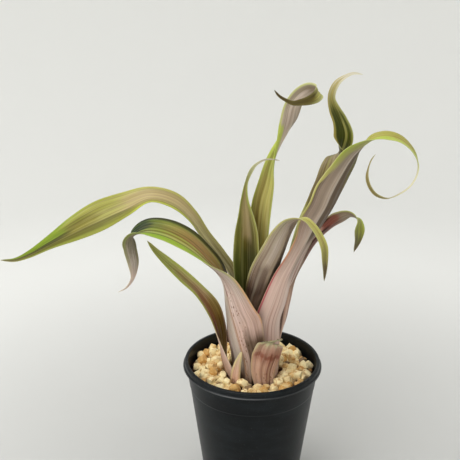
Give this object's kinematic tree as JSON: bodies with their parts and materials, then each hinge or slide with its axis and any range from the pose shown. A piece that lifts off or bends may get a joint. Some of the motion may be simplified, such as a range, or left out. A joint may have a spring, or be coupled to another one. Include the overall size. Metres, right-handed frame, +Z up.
{
  "type": "potted bromeliad",
  "caption": "Bromeliad with curling strap leaves and wide pink sheaths, in a round black nursery pot filled with pale gravel.",
  "frame": {"origin": "centre of the pot's underside, on the surface that it stands on", "axes": "+Z up along the pot's axis, +X to the side where the ringed leaf tip reaches, +Y away from the side with the wide pink sheath"},
  "size_m": [0.2951, 0.1056, 0.3274],
  "materials": {
    "pot_plastic": "satin",
    "gravel_stone": "matte",
    "stem_tissue": "matte",
    "leaf_green": "satin",
    "leaf_pink": "satin",
    "dry_leaf": "matte"
  },
  "bodies": {
    "root": {"pot": "pot_plastic", "gravel": "gravel_stone", "stem_base": "stem_tissue", "leaf_centre": "leaf_green", "leaf_centre_left": "leaf_green", "leaf_far_left": "leaf_green", "leaf_low_left": "leaf_green", "leaf_back_right": "leaf_green", "leaf_front_left": "leaf_pink", "leaf_inner_right": "leaf_pink", "leaf_main_right": "leaf_pink", "leaf_low_right": "leaf_pink", "cut_leaf_stub": "dry_leaf", "dry_bract": "dry_leaf"}
  },
  "joints": []
}
